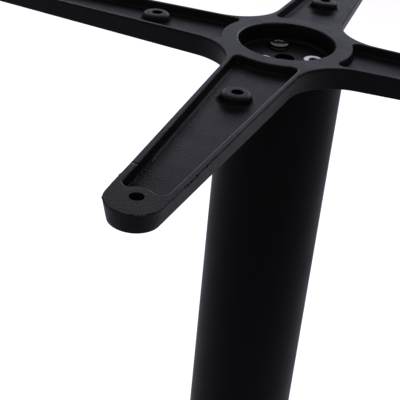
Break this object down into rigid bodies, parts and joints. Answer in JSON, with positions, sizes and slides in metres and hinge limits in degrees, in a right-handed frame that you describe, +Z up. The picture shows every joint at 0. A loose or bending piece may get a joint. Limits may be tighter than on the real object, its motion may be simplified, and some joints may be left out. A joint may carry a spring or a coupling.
{
  "type": "bar table base",
  "caption": "Bar-height pedestal table base: cast cross-shaped top spider with pocketed arms on a round column, standing on a low round base disc.",
  "frame": {"origin": "on the floor under the column's axis", "axes": "+Z up along the column, spider arms along X and Y, one hub screw towards +X"},
  "size_m": [0.4572, 0.4572, 1.05],
  "materials": {
    "spider_coat": "satin black coat on cast iron",
    "column_coat": "satin black coat on steel tube",
    "base_coat": "satin black coat on cast iron",
    "zinc_screws": "zinc plated",
    "spring_steel": "dull spring steel",
    "plain_steel": "mill steel",
    "foot_rubber": "matte black"
  },
  "bodies": {
    "root": {"top_spider": "spider_coat", "spider_screws": "zinc_screws", "spider_spring_washers": "spring_steel", "column_tube": "column_coat", "column_top_plate": "plain_steel", "column_bottom_plate": "plain_steel", "base_disc": "base_coat", "base_screws": "zinc_screws", "base_spring_washers": "spring_steel", "foot_1": "foot_rubber", "foot_2": "foot_rubber", "foot_3": "foot_rubber", "foot_4": "foot_rubber"}
  },
  "joints": []
}
